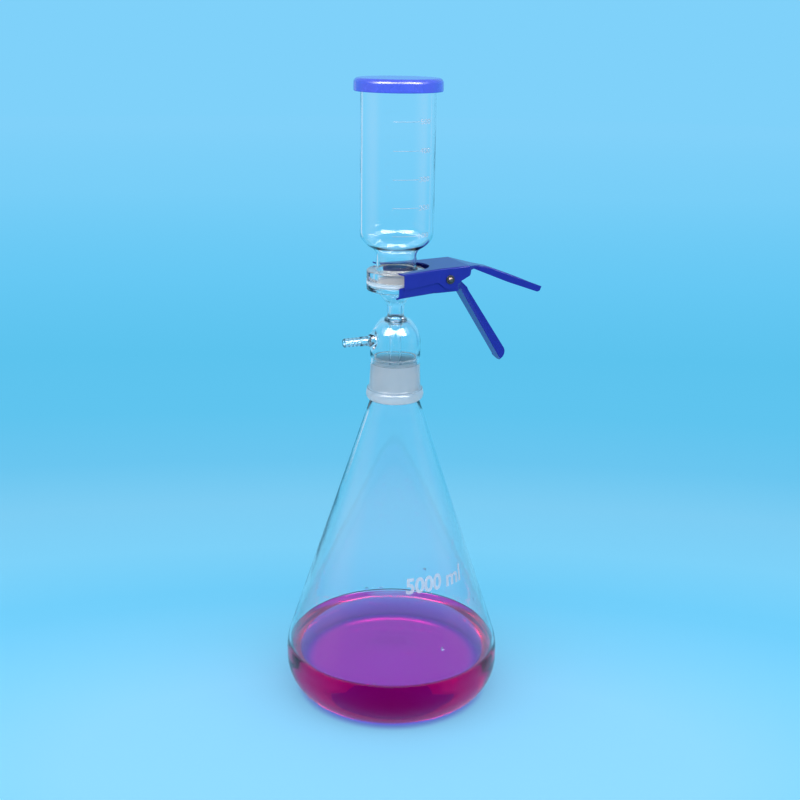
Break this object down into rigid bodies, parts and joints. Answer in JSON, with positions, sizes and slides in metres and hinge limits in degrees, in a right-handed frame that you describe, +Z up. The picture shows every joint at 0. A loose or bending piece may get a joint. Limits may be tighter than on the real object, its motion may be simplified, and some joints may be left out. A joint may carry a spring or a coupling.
{
  "type": "vacuum filtration unit",
  "caption": "Conical receiving flask with a glass filter head, a cylindrical funnel with a flat cap, and a spring clamp that holds funnel and head together.",
  "frame": {"origin": "centre of the flask's foot ring, on the bench", "axes": "+Z up along the common axis of flask, filter head and funnel; +X towards the clamp's handles; the hose barb points along -X"},
  "size_m": [0.2725, 0.224, 0.6342],
  "materials": {
    "glass": "clear borosilicate glass, frosted on the ground cone",
    "filtrate": "clear purple solution with a level surface",
    "sintered_glass": "matt white sintered glass",
    "membrane": "smooth matt membrane",
    "cap_plastic": "moulded blue plastic, softly glossy",
    "blue_anodised": "blue anodised sheet",
    "rivet_steel": "domed rivet head",
    "washer_rubber": "black washer",
    "spring_steel": "drawn spring wire",
    "enamel": "white graduations fired onto the glass"
  },
  "bodies": {
    "stand": {"flask": "glass", "filtrate": "filtrate", "filter_head": "glass", "frit_disc": "sintered_glass", "membrane_filter": "membrane", "funnel": "glass", "funnel_cap": "cap_plastic", "clamp_lower_jaw": "blue_anodised", "clamp_pivot_pin": "rivet_steel", "clamp_washer_near": "washer_rubber", "clamp_washer_far": "washer_rubber", "clamp_spring": "spring_steel"},
    "upper_jaw": {"clamp_upper_jaw": "blue_anodised"}
  },
  "joints": [
    {"name": "jaw_open", "type": "hinge", "parent": "stand", "child": "upper_jaw", "pos_m": [0.0465, 0, 0.4434], "axis": [0, 1, 0], "range_deg": [0, 20], "stiffness_Nm_per_rad": 1.2, "springref_deg": -22.92, "deforming": ["clamp_spring"]}
  ]
}
